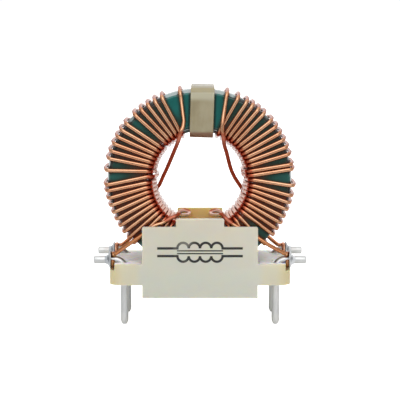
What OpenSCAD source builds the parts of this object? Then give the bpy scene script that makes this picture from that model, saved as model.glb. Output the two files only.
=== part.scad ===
// Toroidal inductor with two windings, standing on edge in a moulded header with four bent pins.
// Millimetres. +X runs along the header, -Y is the front and +Z is up. The origin is on the seating
// plane, under the header's feet, in the middle of the pin pattern. Angles round the ring are
// measured from its top, towards the side that a winding is on.

/* [Ring core] */
// Outside diameter of the coated ring
core_od = 25.9; // [24:0.1:27]
// Bore of the coated ring
core_id = 13.8; // [13:0.1:15]
// Thickness of the ring along its own axis
core_h = 10.6; // [9:0.1:11]
// How deep the rim and the bore taper, from each face towards the middle
core_taper = 3; // [2:0.1:4.5]
// How much the rim's radius has dropped at the faces
core_rim_drop = 0.35; // [0.1:0.05:0.5]
// How much the bore's radius has grown at the faces
core_bore_drop = 0.6; // [0.2:0.05:0.7]
// Radius of the edges between the rim and the faces
core_rim_r = 0.25; // [0.1:0.05:0.3]
// Radius of the edges between the bore and the faces
core_bore_edge_r = 0.5; // [0.4:0.05:0.8]

/* [Wire] */
// Diameter of the enamelled wire
wire_d = 0.57; // [0.4:0.01:0.6]
// Play between a wire and what it lies against
wire_play = 0.03; // [0.01:0.01:0.08]
// Radius of the wire's bends at the rim of the ring
rim_bend_r = 0.55; // [0.5:0.05:0.6]
// Radius of the wire's bends at the edge of the bore
bore_bend_r = 0.75; // [0.6:0.05:1]
// How far the loops bulge off the rim at the sides of the ring, where they bulge fully
loop_bulge = 0.45; // [0:0.05:0.7]

/* [Spacer clip] */
// Width of the clip
clip_w = 3.35; // [2.4:0.05:3.6]
// Thickness of the clip's strip
clip_t = 0.5; // [0.4:0.05:0.8]
// Outer radius of the clip's corners
clip_corner_r = 1.1; // [0.9:0.1:1.4]
// Length of each hook under the ring, from the clip's outer face
clip_hook = 2.6; // [1.5:0.1:4]
// How far the clip has turned from the top of the ring, in degrees
clip_turn = 1.7; // [-2:0.1:2]

/* [Header] */
// How far the base's ends run past the ring; less than 0 is short of it
base_past = -0.05; // [-0.4:0.05:0.6]
// Width of the base from front to rear
base_w = 15.2; // [14.8:0.1:17]
// Thickness of the base
base_t = 3; // [2.6:0.1:3.6]
// Radius of the base's corners
base_corner_r = 2; // [1:0.1:3]
// Height of the feet that hold the base off the board
foot_h = 1.85; // [1:0.05:3]
// Thickness of the base under the ring
seat_floor = 1.7; // [1.2:0.1:2.2]
// Width of the upright plates
plate_w = 16.4; // [15:0.1:17.4]
// Height of the upright plates above the board
plate_h = 10.15; // [8:0.05:11]
// Thickness of the upright plates
plate_t = 0.9; // [0.6:0.05:1]
// Width of the tab on each plate
tab_w = 6.8; // [4:0.1:9]
// Height of the tab above its plate
tab_h = 1.2; // [0.6:0.1:2]
// Radius of the plates' and tabs' top corners
plate_corner_r = 0.25; // [0.1:0.05:0.5]

/* [Pins] */
// Diameter of the pins
pin_d = 1.1; // [0.8:0.02:1.2]
// Distance between the left and right pins
pin_pitch_x = 21.68; // [21:0.02:22.4]
// Distance between the front and rear pins
pin_pitch_y = 10.16; // [9.6:0.02:10.6]
// How far the pins reach below the board's top
pin_tail = 4.1; // [2.5:0.1:6]
// Overall width across the ends of the pins
pin_span = 30.4; // [29.4:0.1:32]
// Radius of the pins' bend, to the middle of the pin
pin_bend_r = 1.4; // [1:0.1:1.6]
// Height of the middle of a pin's level run above the base
pin_rise = 0.35; // [0.2:0.05:0.8]
// Length of the taper at a pin's lower end
pin_taper = 0.55; // [0.2:0.05:1]
// Chamfer at a pin's outer end
pin_chamfer = 0.12; // [0.05:0.01:0.2]
// How far the flats of a pin's six-sided grip, inside the base, stand out from the pin
grip_out = 0.02; // [0.02:0.01:0.06]

/* [Solder joints] */
// Distance from the middle of the header to where each wire is wrapped round its pin
wrap_x = 12.5; // [12.45:0.05:12.8]
// Thickness of the solder over the wrapped wire
solder_skin = 0.12; // [0.06:0.02:0.2]
// Length of the cone of solder outside the wrapped wire
cone_l = 0.8; // [0.4:0.05:1.2]

/* [Hidden] */
$fn = 96;

left = -1;
right = 1;
front = -1;
rear = 1;

seat_play = 0.05;      // between the ring and its seat in the base
clip_play = 0.05;      // between the ring and the clip
pin_play = 0.02;       // between a pin and its hole or its solder
past = 1;              // how far a cut runs past what it cuts

ring_z = foot_h + seat_floor + seat_play + core_od / 2;   // height of the ring's axis
base_l = core_od + 2 * base_past;
base_top = foot_h + base_t;
pin_z = base_top + pin_rise;
pin_leg = pin_z - pin_bend_r;                             // height of a pin's leg, up to its bend

// ---- The wire's place round the ring's section ----
wire_r = wire_d / 2;
layer = wire_d + wire_play;                          // from one layer of wire to the next
face_y = core_h / 2 + wire_play + wire_r;            // wire on the flat faces
bore_r = core_id / 2 - wire_play - wire_r;           // wire in the bore
rim_r = core_od / 2 + wire_play + wire_r;            // wire on the rim
core_straight = core_h / 2 - core_taper;             // from the middle to where the tapers start
lead_r = bore_r + 0.2;                               // that the leads' places are measured from
turn_pitch = 2 * asin((wire_d / 2 + 0.0005) / bore_r);   // degrees from turn to turn in the bore
wrap_step = 30.8;                                    // degrees from ring to ring of a pin's wrap
wrap_r = (pin_d / 2 + wire_play + wire_r) / cos(wrap_step / 2);
wire_sides = 8;

// Each winding is laid in bunches, from the clip down. A bunch is its number of turns, the extra
// gap before it, the lean of its first and of its last turn, all in degrees, and how far its
// turns stand off the bore. The lean is how much further round a turn lies on the rim.
left_start = 22.2;
left_bunches = [[5, 0, 2.2, 2.3, 0], [6, 2.3, 2.7, 1.8, 0], [1, 0.6, 3.6, 3.6, 0],
                [1, 0.6, 6.9, 6.9, 0.35], [9, 2, 3.7, 1.2, 0], [3, 0.6, 5.9, 1, 0]];
right_start = 21.5;
right_bunches = [[1, 0, 3, 3, 0], [4, 1.8, 2.2, 0.2, 0], [6, 0, 1.4, 0.2, 0],
                 [2, 1, 0.7, -1.2, 0.3], [1, 0.2, 3.8, 3.8, 0], [3, 1.2, 3.9, 3, 0],
                 [4, 0.9, 2, 0.4, 0], [1, 1.4, 2, 2, 0], [3, 0.5, 6, 1, 0]];
lowest_turn = 148.5;   // no turn lies lower in the bore than this angle
// The share of the full bulge at each angle round the rim
left_bulge = [[10, 0.2], [25, 0.45], [35, 0.53], [47, 0.85], [60, 0.92], [75, 1.02], [85, 1.1],
              [95, 0.95], [103, 0.66], [112, 0.36], [122, 0.25], [132, 0.05], [140, 0]];
right_bulge = [[10, 0.2], [28, 0.4], [38, 0.52], [50, 0.75], [60, 0.62], [72, 0.62], [82, 0.5],
               [90, 0.85], [96, 0.75], [104, 0.4], [112, 0.12], [122, 0]];

// Points on a lead: angle round the ring, distance out from lead_r (or in bore_pass from bore_r),
// place along the ring's axis from -1 on the front face to 1 on the rear face, and layers of wire
// further out.
front_lead_left = [[131.7, 6.5, -1, -0.8], [133, 4.5, -1, -1.05], [134, 2.5, -1, -1.05],
                   [137.9, 1.3, -1, -1], [139.8, 0.55, -1, -1], [141.7, -0.1, -1, -1],
                   [144.8, -0.62, -1, -0.8]];
front_lead_right = [[132.7, 6.8, -1, -0.8], [134.3, 5, -1, -1.05], [137.4, 3.1, -1, -1.05],
                    [141.7, 1.3, -1, -1.05], [144.3, 0.3, -1, -1], [145.6, -0.4, -1, -0.8]];
// Through the bore to the rear, round a loose loop and on to the rear face, for either winding
bore_pass = [[146.5, -0.65, -0.9, 0], [149.5, -0.6, -0.45, 0], [152.8, -0.36, 0, 0],
             [158.5, -0.3, 0.55, 0], [162.4, -0.34, 0.78, 0], [164.5, -0.5, 0.94, 0],
             [163.6, -0.68, 1, 0.25], [158, -0.68, 1, 0.6], [153, -0.3, 1, 0.8],
             [150.4, 0.6, 1, 0.8], [149.5, 2.5, 1, 0.3]];
return_left = [[15, 2.1, -1, 0], [17.3, 1.3, -1, -0.8], [21.5, 0.72, -1, -1.05],
               [26.5, -0.1, -1, -0.7], [32.3, -0.65, -0.94, 0], [44.3, -1.36, -0.57, 0],
               [59.2, -1.77, -0.2, 0], [75.8, -1.78, 0.18, 0], [91.4, -1.33, 0.55, 0],
               [103.5, -0.62, 0.9, 0], [108.3, -0.04, 1, 0.75]];
return_right = [[19.3, 3.3, -1, -0.5], [21, 2.1, -1, -1.05], [23.6, 1.05, -1, -1.05],
                [28.3, 0.25, -1, -0.95], [33.9, -0.6, -0.91, 0], [44.6, -1.35, -0.53, 0],
                [58.3, -1.92, -0.18, 0], [74.9, -2.12, 0.2, 0], [91.5, -1.73, 0.55, 0],
                [104, -0.78, 0.9, 0], [108.9, -0.2, 1, 0.75]];
rear_drop = [[119.4, 1.66, 1, 1.05], [125.7, 3.25, 1, 1.05], [131.8, 5.7, 1, 1.05],
             [132.7, 7.1, 1, 0.9], [132.6, 8.1, 1, 0.6]];
// Where each wire comes to its pin: in from its wrap, out from its pin and up from the pin's axis
front_touch = [0.5, 0.42, 0.98];
rear_touch = [0.8, 0.62, 0.72];
last_rim_left = 12.7;    // where the last turn of each winding crosses the rim, by the clip
last_rim_right = 17.3;
lead_steps = 2;          // rings of the wire from one lead point to the next

// ---- Small helpers ----
function unit(v) = v / norm(v);

function backwards(list) = [for (i = [len(list) - 1 : -1 : 0]) list[i]];

function ring_point(side, angle, radius, y) =
    [side * radius * sin(angle), y, ring_z + radius * cos(angle)];

function lead_points(side, points, from = lead_r) =
    [for (p = points) ring_point(side, p[0], from + p[1], p[2] * face_y + p[3] * layer)];

// Points of a smooth curve through the given points, after Catmull and Rom
function smooth(p, steps) =
    concat([for (i = [0 : len(p) - 2]) for (s = [0 : steps - 1])
        let (a = p[max(i - 1, 0)], b = p[i], c = p[i + 1], d = p[min(i + 2, len(p) - 1)], t = s / steps)
        (2 * b + (c - a) * t + (2 * a - 5 * b + 4 * c - d) * t * t
            + (3 * b - a - 3 * c + d) * t * t * t) / 2],
        [p[len(p) - 1]]);

// ---- The turns of a winding: each is its angle in the bore, its angle on the rim, its stand-off ----
function bunch_turns(bunch, start) =
    [for (i = [0 : bunch[0] - 1])
        let (share = bunch[0] > 1 ? i / (bunch[0] - 1) : 0, angle = start + i * turn_pitch)
        [angle, angle + bunch[2] + share * (bunch[3] - bunch[2]), bunch[4]]];

function all_turns(bunches, start, i = 0) =
    i >= len(bunches) ? [] :
    let (first = start + bunches[i][1])
    concat(bunch_turns(bunches[i], first),
           all_turns(bunches, first + bunches[i][0] * turn_pitch, i + 1));

function rim_radius(side, angle) =
    rim_r + loop_bulge * lookup(angle, side == left ? left_bulge : right_bulge);

// What a taper that drops by the given amount has dropped at the end of a wire's bend
function taper_share(drop, bend_r) = drop * (face_y - bend_r - core_straight) / core_taper;

// A wire's quarter bend from a face on to the rim, and the point where its taper ends
function rim_bend(side, angle, face, turns_out) =
    let (top = rim_radius(side, angle), low = top - taper_share(core_rim_drop, rim_bend_r),
         bend = [for (a = [0, 45, 90])
            ring_point(side, angle, low - rim_bend_r * (1 - sin(a)),
                       face * (face_y - rim_bend_r * (1 - cos(a))))],
         points = concat(bend, [ring_point(side, angle, top, face * core_straight)]))
    turns_out ? points : backwards(points);

// The same into the bore, or out of it
function bore_bend(side, angle, face, turns_in, off) =
    let (top = bore_r - off, low = top + taper_share(core_bore_drop, bore_bend_r),
         bend = [for (a = [0, 45, 90])
            ring_point(side, angle, low + bore_bend_r * (1 - sin(a)),
                       face * (face_y - bore_bend_r * (1 - cos(a))))],
         points = concat(bend, [ring_point(side, angle, top, face * core_straight)]))
    turns_in ? points : backwards(points);

function turn_points(side, turn) =
    concat(rim_bend(side, turn[1], rear, true), rim_bend(side, turn[1], front, false),
           bore_bend(side, turn[0], front, true, turn[2]),
           bore_bend(side, turn[0], rear, false, turn[2]));

// The end of a wire, wrapped round its pin: over the top, down the inner side, under and up again
function pin_wrap(side, face) =
    [for (a = [-36 : wrap_step : 272.5])
        [side * (wrap_x - (a < 0 ? 0.1 : 0)), face * (pin_pitch_y / 2 - wrap_r * sin(a)),
         pin_z + wrap_r * cos(a)]];

function pin_touch(side, face) =
    let (touch = face == front ? front_touch : rear_touch)
    [side * (wrap_x - touch[0]), face * (pin_pitch_y / 2 + touch[1]), pin_z + touch[2]];

// The whole wire, from the front pin round the ring to the rear pin
function wire_points(side, turns, front_lead, return_lead, last_rim) =
    concat(backwards(pin_wrap(side, front)),
           smooth(concat([pin_touch(side, front)], lead_points(side, front_lead),
                         lead_points(side, bore_pass, bore_r)), lead_steps),
           [for (i = [len(turns) - 1 : -1 : 0]) each turn_points(side, turns[i])],
           rim_bend(side, last_rim, rear, true), rim_bend(side, last_rim, front, false),
           smooth(concat(lead_points(side, return_lead), lead_points(side, rear_drop),
                         [pin_touch(side, rear)]), lead_steps),
           pin_wrap(side, rear));

// ---- A round wire swept along points, with mitred rings ----
module sweep(points, radius, sides) {
    last = len(points) - 1;
    run = [for (i = [0 : last - 1]) unit(points[i + 1] - points[i])];
    along = [for (i = [0 : last]) unit(run[max(i - 1, 0)] + run[min(i, last - 1)])];
    start = unit(cross(along[0], [0.3, 0.2, 1]));
    across = [for (i = 0, n = start; i <= last; i = i + 1,
                   n = i <= last ? unit(n - (n * along[i]) * along[i]) : n) n];
    rings = [for (i = [0 : last])
        let (before = run[max(i - 1, 0)], after = run[min(i, last - 1)],
             bend = after - before, cosine = along[i] * after,
             lean = norm(bend) > 0.001 ? unit(bend) : [0, 0, 0], up = cross(along[i], across[i]))
        [for (s = [0 : sides - 1])
            let (a = 360 * s / sides, out = radius * (cos(a) * across[i] + sin(a) * up))
            points[i] + out + (1 / cosine - 1) * (out * lean) * lean]];
    walls = [for (i = [0 : last - 1]) for (s = [0 : sides - 1])
        let (a = i * sides + s, b = i * sides + (s + 1) % sides)
        each [[a, b + sides, b], [a, a + sides, b + sides]]];
    caps = [[for (s = [0 : sides - 1]) s], [for (s = [sides - 1 : -1 : 0]) last * sides + s]];
    polyhedron([for (ring = rings) each ring], concat(walls, caps));
}

// ---- Flat shapes ----
module rounded_box(x0, y0, x1, y1, r) {
    translate([x0 + r, y0]) square([x1 - x0 - 2 * r, y1 - y0]);
    translate([x0, y0 + r]) square([x1 - x0, y1 - y0 - 2 * r]);
    for (x = [x0 + r, x1 - r], y = [y0 + r, y1 - r]) translate([x, y]) circle(r);
}

// A box with only its top corners rounded
module top_rounded(w, h, r) {
    translate([-w / 2, 0]) square([w, h - r]);
    translate([r - w / 2, 0]) square([w - 2 * r, h]);
    for (x = [r - w / 2, w / 2 - r]) translate([x, h - r]) circle(r);
}

// ---- Pieces ----
// The coated ring, on its axis from front to rear
module core() {
    inner = core_id / 2;
    outer = core_od / 2;
    half = core_h / 2;
    color([0.12, 0.37, 0.35])
        translate([0, 0, ring_z]) rotate([90, 0, 0]) rotate_extrude() hull() {
            translate([inner, -core_straight]) square([outer - inner, 2 * core_straight]);
            for (s = [-1, 1]) {
                translate([inner + core_bore_drop + core_bore_edge_r, s * (half - core_bore_edge_r)])
                    circle(core_bore_edge_r);
                translate([outer - core_rim_drop - core_rim_r, s * (half - core_rim_r)])
                    circle(core_rim_r);
            }
        }
}

module winding(side, bunches, start, front_lead, return_lead, last_rim) {
    turns = [for (t = all_turns(bunches, start)) if (t[0] <= lowest_turn) t];
    color([0.79, 0.45, 0.27])
        sweep(wire_points(side, turns, front_lead, return_lead, last_rim), wire_r, wire_sides);
}

module winding_left() {
    winding(left, left_bunches, left_start, front_lead_left, return_left, last_rim_left);
}

module winding_right() {
    winding(right, right_bunches, right_start, front_lead_right, return_right, last_rim_right);
}

// A strip over the ring, down both faces and hooked under it into the bore
module spacer_clip() {
    half = core_h / 2 + clip_play;
    roof = core_od / 2 + clip_play;
    hook_top = sqrt(pow(core_id / 2, 2) - pow(clip_w / 2, 2)) - clip_play;
    inner_r = clip_corner_r - clip_t;
    color([0.73, 0.70, 0.60])
        translate([0, 0, ring_z]) rotate([0, clip_turn, 0]) rotate([90, 0, 90])
            translate([0, 0, -clip_w / 2]) linear_extrude(clip_w) difference() {
                rounded_box(-half - clip_t, hook_top - clip_t, half + clip_t, roof + clip_t, clip_corner_r);
                rounded_box(-half, hook_top, half, roof, inner_r);
                translate([clip_hook - half - clip_t, hook_top - clip_t - past])
                    square([2 * (half + clip_t - clip_hook), clip_t + 2 * past]);
            }
}

// The upright plate with its tab; its lower edge is a foot
module plate() {
    rotate([90, 0, 0]) linear_extrude(plate_t) {
        top_rounded(plate_w, plate_h, plate_corner_r);
        translate([0, plate_h - 1]) top_rounded(tab_w, tab_h + 1, plate_corner_r);
    }
}

// A six-sided bar that holds a pin from turning in the base; r is from its middle to a flat
module grip(r, z0, z1) {
    translate([0, 0, z0]) cylinder(r = r / cos(30), h = z1 - z0, $fn = 6);
}

// What a pin takes out of the base: its hole, the relief round its bend and its groove
module pin_cut() {
    r = pin_d / 2 + pin_play;
    grip(pin_d / 2 + grip_out + pin_play, foot_h - past, pin_leg + pin_play);
    translate([0, 0, foot_h]) cylinder(r = r, h = base_t + past);
    translate([0, -r, base_top - 0.95]) cube([0.8, 2 * r, 0.95 + past]);
    translate([0, -r, pin_z - r]) cube([base_l / 2, 2 * r, pin_d]);
    translate([pin_bend_r, 0, pin_z - pin_bend_r]) rotate([90, 0, 0])
        intersection() {
            rotate_extrude() translate([pin_bend_r, 0]) circle(r);
            translate([-3 * pin_bend_r, 0, -r - past]) cube([3 * pin_bend_r, 3 * pin_bend_r, 2 * r + 2 * past]);
        }
}

// The notch in a corner of the base that clears the wrapped wire and its solder, open outwards
module wrap_notch(face) {
    inside = wrap_x - wire_r - 0.05;
    clear = wrap_r + wire_r + solder_skin + 0.06;
    low = pin_z - clear;
    translate([inside, face == front ? -base_w / 2 : -clear, low])
        cube([base_l / 2, clear + base_w / 2, base_top - low + past]);
}

module header() {
    color([0.82, 0.80, 0.72])
        difference() {
            union() {
                translate([0, 0, foot_h]) linear_extrude(base_t)
                    rounded_box(-base_l / 2, -base_w / 2, base_l / 2, base_w / 2, base_corner_r);
                translate([0, plate_t - base_w / 2, 0]) plate();
                translate([0, base_w / 2, 0]) plate();
            }
            translate([0, base_w / 2 - plate_t, ring_z]) rotate([90, 0, 0])
                cylinder(r = core_od / 2 + seat_play, h = base_w - 2 * plate_t);
            for (side = [left, right], face = [front, rear])
                translate([0, face * pin_pitch_y / 2, 0])
                    mirror([side == left ? 1 : 0, 0, 0]) {
                        translate([pin_pitch_x / 2, 0, 0]) pin_cut();
                        wrap_notch(face);
                    }
        }
}

// A pin on the right: up through the base, bent outwards and level to its end
module pin() {
    r = pin_d / 2;
    run = pin_span / 2 - pin_pitch_x / 2 - pin_bend_r;
    color([0.80, 0.81, 0.82]) {
        translate([0, 0, pin_taper - pin_tail]) cylinder(r = r, h = foot_h + pin_tail - pin_taper);
        grip(r + grip_out, foot_h, pin_leg);
        translate([0, 0, -pin_tail]) cylinder(r1 = r * 0.55, r2 = r, h = pin_taper);
        translate([pin_bend_r, 0, pin_leg]) rotate([90, 0, 0]) intersection() {
            rotate_extrude() translate([pin_bend_r, 0]) circle(r);
            translate([-3 * pin_bend_r, 0, -r - past]) cube([3 * pin_bend_r, 3 * pin_bend_r, 2 * r + 2 * past]);
        }
        translate([pin_bend_r, 0, pin_z]) rotate([0, 90, 0]) {
            cylinder(r = r, h = run - pin_chamfer);
            translate([0, 0, run - pin_chamfer]) cylinder(r1 = r, r2 = r - pin_chamfer, h = pin_chamfer);
        }
    }
}

module terminal_pin(side, face) {
    translate([side * pin_pitch_x / 2, face * pin_pitch_y / 2, 0])
        mirror([side == left ? 1 : 0, 0, 0]) pin();
}

// The solder over the outer half of the wrapped wire, and its cone outwards along the pin
module solder_joint(side, face) {
    bore = pin_d / 2 + pin_play;
    over = wrap_r + wire_r + 0.02;      // inside the skin that covers the wire
    out = over + solder_skin;
    wire_end = wire_r + 0.02;           // past the wire
    start = 0.2;                        // how far out from the wire's middle the skin starts
    color([0.78, 0.79, 0.80])
        translate([side * wrap_x, face * pin_pitch_y / 2, pin_z]) rotate([0, side * 90, 0])
            rotate_extrude()
                polygon([[bore, wire_end], [over, wire_end], [over, start],
                         [over + 0.6 * solder_skin, start], [out, start + 0.07],
                         [out, wire_end + 0.02], [out - 0.13, wire_end + 0.12],
                         [out - 0.38, wire_end + 0.24], [bore + 0.15, wire_end + 0.38],
                         [bore + 0.05, wire_end + 0.7 * cone_l],
                         [bore + 0.02, wire_end + cone_l], [bore, wire_end + cone_l]]);
}

core();
winding_left();
winding_right();
spacer_clip();
header();
terminal_pin(left, front);  // terminal_pin_front_left
terminal_pin(right, front);  // terminal_pin_front_right
terminal_pin(left, rear);  // terminal_pin_rear_left
terminal_pin(right, rear);  // terminal_pin_rear_right
solder_joint(left, front);  // solder_joint_front_left
solder_joint(right, front);  // solder_joint_front_right
solder_joint(left, rear);  // solder_joint_rear_left
solder_joint(right, rear);  // solder_joint_rear_right
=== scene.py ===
# Looks of a toroidal inductor on a moulded pin header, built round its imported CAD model.
# Shapes are worked out in millimetres in the CAD model's own frame, and put into metres last.
import math

import bmesh
import bpy
import numpy as np
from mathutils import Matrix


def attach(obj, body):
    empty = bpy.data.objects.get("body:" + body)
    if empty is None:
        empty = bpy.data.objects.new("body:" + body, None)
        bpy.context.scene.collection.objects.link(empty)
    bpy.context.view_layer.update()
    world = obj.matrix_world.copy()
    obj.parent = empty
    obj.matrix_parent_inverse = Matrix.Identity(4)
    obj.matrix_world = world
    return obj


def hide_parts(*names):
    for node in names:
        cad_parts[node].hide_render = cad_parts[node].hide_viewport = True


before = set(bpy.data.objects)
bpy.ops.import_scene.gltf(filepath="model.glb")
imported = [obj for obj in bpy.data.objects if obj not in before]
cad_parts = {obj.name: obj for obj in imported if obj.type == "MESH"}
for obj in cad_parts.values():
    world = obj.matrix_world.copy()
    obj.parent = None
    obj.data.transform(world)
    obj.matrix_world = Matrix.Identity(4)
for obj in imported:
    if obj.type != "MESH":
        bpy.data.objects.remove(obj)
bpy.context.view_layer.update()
mm = 0.001
print("frame loaded:", len(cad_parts), "nodes")

# the tilt is in radians, and "sees" is from where to where in metres
view = {
    "back": 232.63, "height": 37.53, "tilt": 0.104, "lens": 144.27, "sensor": 36,
    "sees": (0.01, 10),
}


def intoScene(name, data):
    # a new object that holds the data, linked into the scene
    thing = bpy.data.objects.new(name, data)
    bpy.context.scene.collection.objects.link(thing)
    return thing


cameraData = bpy.data.cameras.new("viewCamera")
cameraData.lens, cameraData.sensor_width = view["lens"], view["sensor"]
cameraData.clip_start, cameraData.clip_end = view["sees"]
camera = intoScene("viewCamera", cameraData)
camera.location = (0, -view["back"] * mm, view["height"] * mm)
camera.rotation_euler = (math.pi / 2 - view["tilt"], 0, 0)
bpy.context.scene.camera = camera
bpy.context.scene.view_settings.view_transform = "Standard"
print("camera placed")


def unit(vectors):
    # each vector divided by its own length
    return vectors / np.linalg.norm(vectors, axis=-1, keepdims=True)


def tangents(path):
    # at each point the sum of the unit steps before and after it, made a unit again
    step = unit(np.diff(path, axis=0))
    return unit(np.vstack([step[:1], step[:-1] + step[1:], step[-1:]]))


def lengthAlong(path):
    # the running sum of the lengths of the path's steps
    return np.concatenate([[0], np.cumsum(np.linalg.norm(np.diff(path, axis=0), axis=1))])


def fullTurn(steps):
    # even angles all the way round, in radians
    return np.arange(steps) * 2 * np.pi / steps


def arc(centre, radius, start, end, steps):
    # centre + radius * (cos a, sin a), for a from start to end in degrees
    a = np.radians(np.linspace(start, end, steps))
    return np.stack([centre[0] + radius * np.cos(a), centre[1] + radius * np.sin(a)], -1)


def smoothCurve(points, steps):
    # the Catmull-Rom curve through the points: a cubic between each two, whose slope at a point is
    # half the way between its neighbours
    p = np.vstack([points[:1], points, points[-1:]])
    a, b, c, d = (p[i : len(p) - 3 + i, None] for i in range(4))
    t = (np.arange(steps) / steps)[None, :, None]
    square, cube = 2 * a - 5 * b + 4 * c - d, 3 * b - a - 3 * c + d
    curve = (2 * b + (c - a) * t + square * t**2 + cube * t**3) / 2
    return np.vstack([curve.reshape(-1, 3), points[-1:]])


def carriedFrames(path):
    # Each normal is the one before it, turned by the smallest turn between the two tangents; the
    # turns are multiplied together along the path in strides that double. The side direction is
    # the tangent crossed with the normal.
    tangent = tangents(path)
    axis = np.cross(tangent[:-1], tangent[1:])
    cosine = np.sum(tangent[:-1] * tangent[1:], axis=1)
    skew = np.cross(np.eye(3), axis[:, None])
    turn = np.eye(3) + skew + skew @ skew / (1 + cosine)[:, None, None]
    turn = np.concatenate([np.eye(3)[None], turn])
    stride = 1
    while stride < len(turn):
        turn[stride:] = turn[stride:] @ turn[:-stride]
        stride *= 2
    first = np.array([0.3, 0.2, 1.0])  # any direction other than the first tangent's
    normal = turn @ unit(first - first @ tangent[0] * tangent[0])
    return normal, np.cross(tangent, normal)


def sweepRound(path, radius, sides):
    # point = path + radius * cos a * normal + radius * sin a * side, for a all the way round
    normal, side = carriedFrames(path)
    a = fullTurn(sides)[:, None]
    return path[:, None] + radius * np.cos(a) * normal[:, None] + radius * np.sin(a) * side[:, None]


def onSide(points, side):
    # the grid, or for the left side its mirror image with the columns turned round
    return points if side > 0 else points[:, ::-1] * [-1, 1, 1]


def addGrid(name, points, closeRows=False, uv=None):
    # A surface on a grid: rows run along the shape and columns run round it. Each face joins four
    # neighbours, the last column joins the first, and open ends are closed by a flat face.
    rows, cols = points.shape[:2]
    row, col = np.indices((rows if closeRows else rows - 1, cols))
    nextRow, nextCol = (row + 1) % rows, (col + 1) % cols
    quads = np.stack([row * cols + col, row * cols + nextCol,
                      nextRow * cols + nextCol, nextRow * cols + col], -1)
    faces = quads.reshape(-1, 4).tolist()
    if not closeRows:
        faces.append(list(range(cols - 1, -1, -1)))
        faces.append(list(range((rows - 1) * cols, rows * cols)))
    mesh = bpy.data.meshes.new(name)
    mesh.from_pydata((points.reshape(-1, 3) * mm).tolist(), [], faces)
    mesh.polygons.foreach_set("use_smooth", np.ones(len(faces), bool))
    if uv is not None:
        # where the last column joins the first, the way round ends at 1 and not at 0 again
        surface = mesh.uv_layers.new(name="surface")
        corner = np.zeros(len(mesh.loops), int)
        mesh.loops.foreach_get("vertex_index", corner)
        flat = uv.reshape(-1, 2)[corner]
        farCorner = np.tile([False, True, True, False], col.size)
        seam = np.repeat(nextCol.ravel() == 0, 4) & farCorner
        flat[: len(seam)][seam, 0] = 1.0
        surface.data.foreach_set("uv", flat.astype(np.float32).ravel())
    mesh.update()
    mesh.validate()
    return intoScene(name, mesh)


def addNumbers(piece, name, values):
    # one number for each point of the mesh, under a name that the piece's material reads
    numbers = piece.data.attributes.new(name, "FLOAT", "POINT")
    numbers.data.foreach_set("value", values.astype(np.float32))


def finishPiece(piece, material, node):
    # the piece's material, the body it rides on, and the CAD node it stands for, which is hidden
    piece.data.materials.append(material)
    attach(piece, "root")
    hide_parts(node)


class Nodes:
    # short words for placing and joining the nodes of one tree
    def __init__(self, tree):
        self.tree = tree
        self.places = {}

    def add(self, kind, values=None, **settings):
        # a new node with its settings, and with what goes into each of its sockets
        node = self.tree.nodes.new(kind)
        for key, value in settings.items():
            setattr(node, key, value)
        for key, value in (values or {}).items():
            self.feed(value, node.inputs[key])
        return node

    def feed(self, value, socket):
        # an output is linked to the socket, and anything else is the socket's own value
        if isinstance(value, bpy.types.NodeSocket):
            self.tree.links.new(value, socket)
        else:
            socket.default_value = value

    def math(self, operation, a, b=0.0, c=0.0, clamp=False):
        values = {0: a, 1: b, 2: c}
        return self.add("ShaderNodeMath", values, operation=operation, use_clamp=clamp).outputs[0]

    def times(self, first, *others):
        for other in others:
            first = self.math("MULTIPLY", first, other)
        return first

    def plus(self, first, *others):
        for other in others:
            first = self.math("ADD", first, other)
        return first

    def minus(self, a, b):
        return self.math("SUBTRACT", a, b)

    def absolute(self, a):
        return self.math("ABSOLUTE", a)

    def distance(self, a, b):
        # the root of a squared + b squared
        squares = self.plus(self.math("POWER", a, 2), self.math("POWER", b, 2))
        return self.math("POWER", squares, 0.5)

    def ramp(self, value, start, end, full=1.0, empty=0.0):
        # a smooth step from empty to full, as the value goes from start to end
        values = {0: value, 1: start, 2: end, 3: empty, 4: full}
        return self.add("ShaderNodeMapRange", values, interpolation_type="SMOOTHSTEP").outputs[0]

    def band(self, value, start, full, fullEnd, end):
        # a smooth step up from start to full, times a smooth step down from fullEnd to end
        return self.times(self.ramp(value, start, full), self.ramp(value, end, fullEnd))

    def noise(self, vector, scale, detail=3.0):
        values = {"Vector": vector, "Scale": scale, "Detail": detail}
        return self.add("ShaderNodeTexNoise", values).outputs[0]

    def stretched(self, vector, scale):
        return self.add("ShaderNodeMapping", {"Vector": vector, "Scale": scale}).outputs[0]

    def numbers(self, name):
        # what addNumbers has put into the mesh
        return self.add("ShaderNodeAttribute", attribute_name=name).outputs["Fac"]

    def along(self, vector, direction):
        # the vector's share in the direction
        values = {0: vector, 1: direction}
        return self.add("ShaderNodeVectorMath", values, operation="DOT_PRODUCT").outputs["Value"]

    def mask(self, spans):
        # the product of a ramp in each place that is named, or of a band where its numbers are four
        return self.times(*[(self.band if len(span) == 4 else self.ramp)(self.places[word], *span)
                            for word, span in spans.items()])

    def tinted(self, base, tints):
        # each tint laid over the ones before it, where its mask is
        for tint, spans in tints:
            base = self.mix(self.mask(spans), base, tint)
        return base

    def mix(self, amount, a, b):
        # a and b are colours
        values = {0: amount, 6: a, 7: b}
        return self.add("ShaderNodeMix", values, data_type="RGBA").outputs[2]


# a piece gives these in its "uneven", with the scales per metre
unevenInputs = ("Grain Scale", "Wave Scale", "Wave Share", "Roughness", "Spread")


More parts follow.
